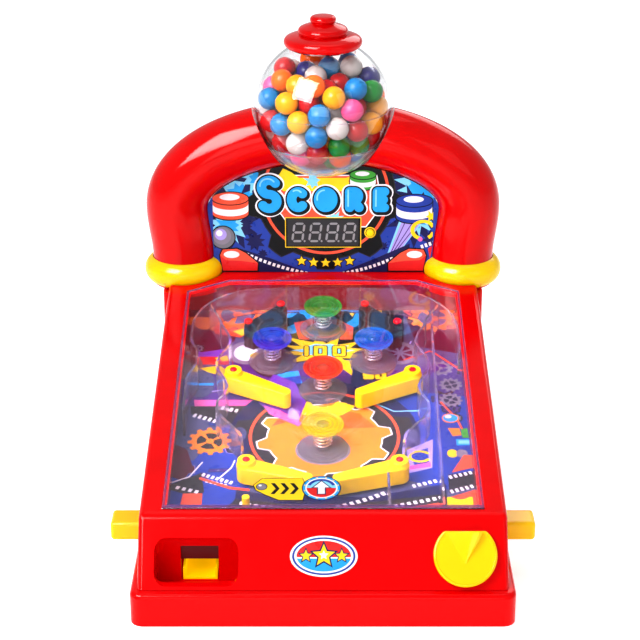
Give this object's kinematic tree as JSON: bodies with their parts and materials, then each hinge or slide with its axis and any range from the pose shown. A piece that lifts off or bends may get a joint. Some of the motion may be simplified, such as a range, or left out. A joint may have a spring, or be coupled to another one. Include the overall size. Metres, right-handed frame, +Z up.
{
  "type": "tabletop pinball game",
  "caption": "Sloped tabletop pinball toy with a clear playfield cover, side flipper buttons, pull launcher and an arch that carries a gumball globe above a score panel.",
  "frame": {"origin": "middle of the base's footprint, on the table", "axes": "+Z up, +Y away from the player, +X to the player's right"},
  "size_m": [0.277, 0.3836, 0.3125],
  "materials": {
    "red_plastic": "glossy moulded red plastic",
    "yellow_plastic": "glossy moulded yellow plastic",
    "clear_plastic": "clear moulded plastic",
    "black_plastic": "black moulded plastic",
    "printed_board": "blue board with bright printed art",
    "printed_card": "printed art panel",
    "badge_white": "printed label",
    "steel": "bright steel",
    "board_green": "circuit board laminate",
    "battery_wrap": "battery label wrap",
    "gumballs": "hard sugar shell in mixed colours",
    "cap_green": "translucent green plastic",
    "cap_blue": "translucent blue plastic",
    "cap_cyan": "translucent light blue plastic",
    "cap_orange": "translucent orange plastic",
    "cap_yellow": "translucent yellow plastic"
  },
  "bodies": {
    "cabinet": {"arch_front_left": "red_plastic", "arch_front_right": "red_plastic", "arch_rear_left": "red_plastic", "arch_rear_right": "red_plastic", "backglass_panel": "printed_card", "ball_rail_left": "clear_plastic", "ball_rail_right": "clear_plastic", "base_plinth": "red_plastic", "battery_door": "red_plastic", "battery_pack": "battery_wrap", "bumper_base_blue": "clear_plastic", "bumper_base_cyan": "clear_plastic", "bumper_base_green": "clear_plastic", "bumper_base_orange": "clear_plastic", "bumper_base_yellow": "clear_plastic", "circuit_board": "board_green", "clear_cover": "clear_plastic", "collar_left": "yellow_plastic", "collar_right": "yellow_plastic", "front_badge": "badge_white", "globe": "clear_plastic", "globe_saddle": "clear_plastic", "gumball_chute": "yellow_plastic", "gumballs": "gumballs", "head_rear_cover": "red_plastic", "lane_divider": "clear_plastic", "playfield_tray": "printed_board", "score_display": "black_plastic", "speaker": "black_plastic", "target_block_left": "black_plastic", "target_block_right": "black_plastic", "upper_housing": "red_plastic"},
    "bumper_green": {"bumper_spring_green": "steel", "bumper_cap_green": "cap_green"},
    "bumper_blue": {"bumper_spring_blue": "steel", "bumper_cap_blue": "cap_blue"},
    "bumper_cyan": {"bumper_spring_cyan": "steel", "bumper_cap_cyan": "cap_cyan"},
    "bumper_orange": {"bumper_spring_orange": "steel", "bumper_cap_orange": "cap_orange"},
    "bumper_yellow": {"bumper_spring_yellow": "steel", "bumper_cap_yellow": "cap_yellow"},
    "button_left": {"flipper_button_left": "yellow_plastic"},
    "flipper_body_lower_left": {"flipper_lower_left": "yellow_plastic", "flipper_crank_lower_left": "black_plastic"},
    "flipper_body_upper_left": {"flipper_upper_left": "yellow_plastic", "flipper_crank_upper_left": "black_plastic"},
    "button_right": {"flipper_button_right": "yellow_plastic"},
    "flipper_body_lower_right": {"flipper_lower_right": "yellow_plastic", "flipper_crank_lower_right": "black_plastic"},
    "flipper_body_upper_right": {"flipper_upper_right": "yellow_plastic", "flipper_crank_upper_right": "black_plastic"},
    "launcher": {"launcher_knob": "yellow_plastic", "striker_shoe": "yellow_plastic", "launch_spring": "steel"},
    "ball": {"steel_ball": "steel"},
    "reset": {"reset_button": "yellow_plastic"},
    "cap": {"globe_cap": "red_plastic"},
    "wheel": {"dispenser_wheel": "yellow_plastic"},
    "switch": {"power_switch": "black_plastic"}
  },
  "joints": [
    {"name": "bumper_green_rock", "type": "hinge", "parent": "cabinet", "child": "bumper_green", "pos_m": [0, 0.10372, 0.08405], "axis": [1, 0, 0], "range_deg": [-6, 6], "stiffness_Nm_per_rad": 0.05},
    {"name": "bumper_blue_rock", "type": "hinge", "parent": "cabinet", "child": "bumper_blue", "pos_m": [-0.037, 0.06094, 0.07616], "axis": [1, 0, 0], "range_deg": [-6, 6], "stiffness_Nm_per_rad": 0.05},
    {"name": "bumper_cyan_rock", "type": "hinge", "parent": "cabinet", "child": "bumper_cyan", "pos_m": [0.037, 0.06094, 0.07616], "axis": [1, 0, 0], "range_deg": [-6, 6], "stiffness_Nm_per_rad": 0.05},
    {"name": "bumper_orange_rock", "type": "hinge", "parent": "cabinet", "child": "bumper_orange", "pos_m": [0, 0.02456, 0.06945], "axis": [1, 0, 0], "range_deg": [-6, 6], "stiffness_Nm_per_rad": 0.05},
    {"name": "bumper_yellow_rock", "type": "hinge", "parent": "cabinet", "child": "bumper_yellow", "pos_m": [0, -0.04281, 0.05702], "axis": [1, 0, 0], "range_deg": [-6, 6], "stiffness_Nm_per_rad": 0.05},
    {"name": "button_left_press", "type": "slide", "parent": "cabinet", "child": "button_left", "axis": [1, 0, 0], "range_m": [0, 0.008], "stiffness_N_per_m": 150, "springref_m": -0.004},
    {"name": "flipper_lower_left_swing", "type": "hinge", "parent": "cabinet", "child": "flipper_body_lower_left", "pos_m": [-0.051, -0.07983, 0.05375], "axis": [0, -0.1814, 0.9834], "range_deg": [0, 45.2]},
    {"name": "flipper_upper_left_swing", "type": "hinge", "parent": "cabinet", "child": "flipper_body_upper_left", "pos_m": [-0.0638, 0.02382, 0.07287], "axis": [0, -0.1814, 0.9834], "range_deg": [0, 45.2]},
    {"name": "button_right_press", "type": "slide", "parent": "cabinet", "child": "button_right", "axis": [-1, 0, 0], "range_m": [0, 0.008], "stiffness_N_per_m": 150, "springref_m": -0.004},
    {"name": "flipper_lower_right_swing", "type": "hinge", "parent": "cabinet", "child": "flipper_body_lower_right", "pos_m": [0.051, -0.07983, 0.05375], "axis": [0, 0.1814, -0.9834], "range_deg": [0, 45.2]},
    {"name": "flipper_upper_right_swing", "type": "hinge", "parent": "cabinet", "child": "flipper_body_upper_right", "pos_m": [0.0638, 0.02382, 0.07287], "axis": [0, 0.1814, -0.9834], "range_deg": [0, 45.2]},
    {"name": "launcher_pull", "type": "slide", "parent": "cabinet", "child": "launcher", "axis": [0, -0.9834, -0.1814], "range_m": [0, 0.012], "stiffness_N_per_m": 120, "springref_m": -0.004, "deforming": ["launch_spring"]},
    {"name": "ball_roll", "type": "slide", "parent": "cabinet", "child": "ball", "axis": [1, 0, 0], "range_m": [-0.045, 0.045]},
    {"name": "reset_press", "type": "slide", "parent": "cabinet", "child": "reset", "axis": [0, 1, 0], "range_m": [0, 0.0015], "stiffness_N_per_m": 400, "springref_m": -0.001},
    {"name": "cap_lift", "type": "slide", "parent": "cabinet", "child": "cap", "axis": [0, 0, 1], "range_m": [0, 0.03]},
    {"name": "wheel_turn", "type": "hinge", "parent": "cabinet", "child": "wheel", "pos_m": [-0.083, 0.148, 0.064], "axis": [0, 0, 1], "continuous": true},
    {"name": "switch_slide", "type": "slide", "parent": "cabinet", "child": "switch", "axis": [1, 0, 0], "range_m": [0, 0.004]}
  ],
  "couplings": [
    {"joint": "flipper_lower_left_swing", "follows": "button_left_press", "rad_per_m": 98},
    {"joint": "flipper_upper_left_swing", "follows": "button_left_press", "rad_per_m": 98},
    {"joint": "flipper_lower_right_swing", "follows": "button_right_press", "rad_per_m": 98},
    {"joint": "flipper_upper_right_swing", "follows": "button_right_press", "rad_per_m": 98}
  ]
}
